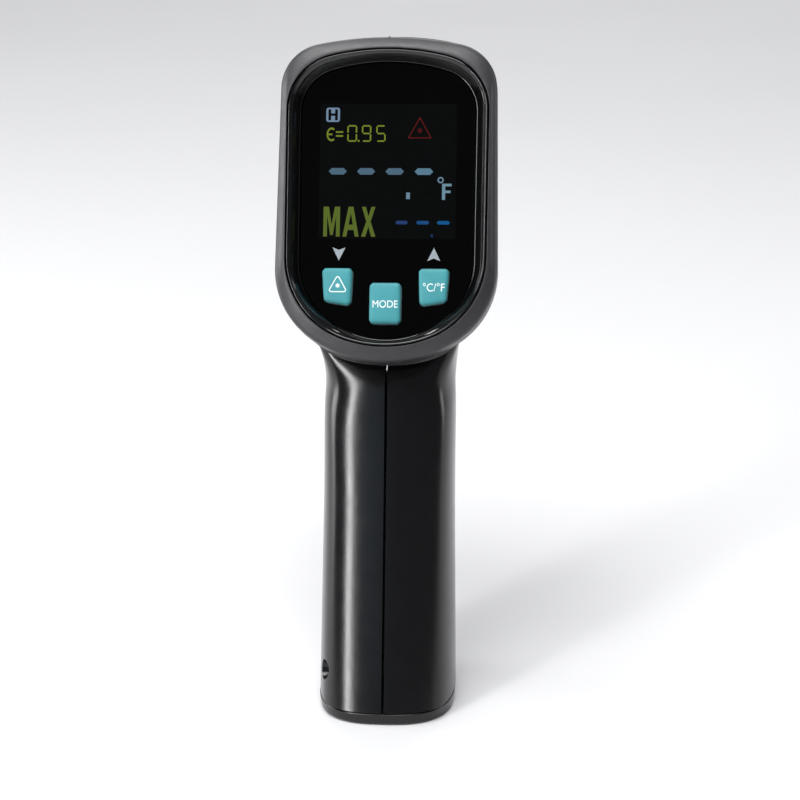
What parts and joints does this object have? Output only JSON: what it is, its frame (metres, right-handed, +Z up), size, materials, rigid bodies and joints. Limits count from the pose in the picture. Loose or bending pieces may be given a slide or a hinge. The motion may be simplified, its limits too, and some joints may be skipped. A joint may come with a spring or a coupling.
{
  "type": "infrared thermometer",
  "caption": "Pistol-grip infrared thermometer with a shield-shaped colour display, teal keys below it, a sprung trigger and a battery door in the grip.",
  "frame": {"origin": "centre of the flat underside of the grip's end cap", "axes": "+X to the user's right, +Y the way the lens points, +Z up the grip"},
  "size_m": [0.056, 0.1122, 0.1678],
  "materials": {
    "body_black": "satin black ABS with a fine grain",
    "collar_grey": "charcoal ABS with a spark-eroded texture",
    "frame_gloss": "polished black plastic",
    "window_black": "black-backed glossy display window",
    "key_teal": "matte turquoise silicone with printed white marks",
    "inner_black": "plain black moulding",
    "lcd_glass": "dark display glass",
    "white_plastic": "plain ivory moulding",
    "board_green": "green solder resist",
    "steel": "bright zinc-plated steel",
    "brass": "turned brass",
    "lens_dark": "dark infrared lens",
    "laser_glass": "small laser lens",
    "battery_case": "plain grey battery jacket",
    "wire_black": "black PVC",
    "wire_red": "red PVC"
  },
  "bodies": {
    "housing": {"housing_left": "body_black", "housing_right": "body_black", "grip_end_cap": "body_black", "nose_bezel": "body_black", "rear_collar": "collar_grey", "display_frame": "frame_gloss", "display_window": "window_black", "lcd_holder": "inner_black", "optic_barrel": "inner_black", "lens_retainer": "inner_black", "microcontroller": "inner_black", "buzzer": "inner_black", "trigger_switch": "inner_black", "lcd_panel": "lcd_glass", "lcd_backlight": "white_plastic", "display_connector": "white_plastic", "display_ribbon": "white_plastic", "ribbon_socket": "white_plastic", "sensor_ribbon": "white_plastic", "display_board": "board_green", "main_board": "board_green", "sensor_board": "board_green", "tact_switch_laser": "steel", "tact_switch_mode": "steel", "tact_switch_units": "steel", "board_screw_1": "steel", "board_screw_2": "steel", "board_screw_3": "steel", "board_screw_4": "steel", "main_board_screw_1": "steel", "main_board_screw_2": "steel", "housing_screw_1": "steel", "housing_screw_2": "steel", "housing_screw_3": "steel", "housing_screw_4": "steel", "thermopile_sensor": "steel", "trigger_pin": "steel", "trigger_spring": "steel", "door_hinge_pin": "steel", "laser_module": "brass", "ir_lens": "lens_dark", "laser_lens": "laser_glass", "battery": "battery_case", "laser_wire_black": "wire_black", "battery_wire_black": "wire_black", "battery_snap": "wire_black", "laser_wire_red": "wire_red", "battery_wire_red": "wire_red"},
    "trigger_body": {"trigger": "body_black"},
    "trigger_switch_button": {"trigger_switch_plunger": "white_plastic"},
    "laser_key": {"key_laser": "key_teal", "tact_plunger_laser": "white_plastic"},
    "mode_key": {"key_mode": "key_teal", "tact_plunger_mode": "white_plastic"},
    "units_key": {"key_units": "key_teal", "tact_plunger_units": "white_plastic"},
    "door": {"battery_door": "body_black"}
  },
  "joints": [
    {"name": "trigger_pull", "type": "hinge", "parent": "housing", "child": "trigger_body", "pos_m": [0, 0.0425, 0.108], "axis": [-1, 0, 0], "range_deg": [0, 7.5], "stiffness_Nm_per_rad": 0.4, "springref_deg": -4.58, "deforming": ["trigger_spring"]},
    {"name": "trigger_switch_press", "type": "slide", "parent": "housing", "child": "trigger_switch_button", "axis": [0, -1, 0], "range_m": [0, 0.00177]},
    {"name": "laser_key_press", "type": "slide", "parent": "housing", "child": "laser_key", "axis": [0, 0.9272, -0.3746], "range_m": [0, 0.0007], "stiffness_N_per_m": 1500, "springref_m": -0.0002},
    {"name": "mode_key_press", "type": "slide", "parent": "housing", "child": "mode_key", "axis": [0, 0.9272, -0.3746], "range_m": [0, 0.0007], "stiffness_N_per_m": 1500, "springref_m": -0.0002},
    {"name": "units_key_press", "type": "slide", "parent": "housing", "child": "units_key", "axis": [0, 0.9272, -0.3746], "range_m": [0, 0.0007], "stiffness_N_per_m": 1500, "springref_m": -0.0002},
    {"name": "battery_door_open", "type": "hinge", "parent": "housing", "child": "door", "pos_m": [0, 0.01894, 0.0112], "axis": [-1, 0, 0], "range_deg": [0, 85]}
  ],
  "couplings": [
    {"joint": "trigger_switch_press", "follows": "trigger_pull", "m_per_rad": 0.0135}
  ]
}
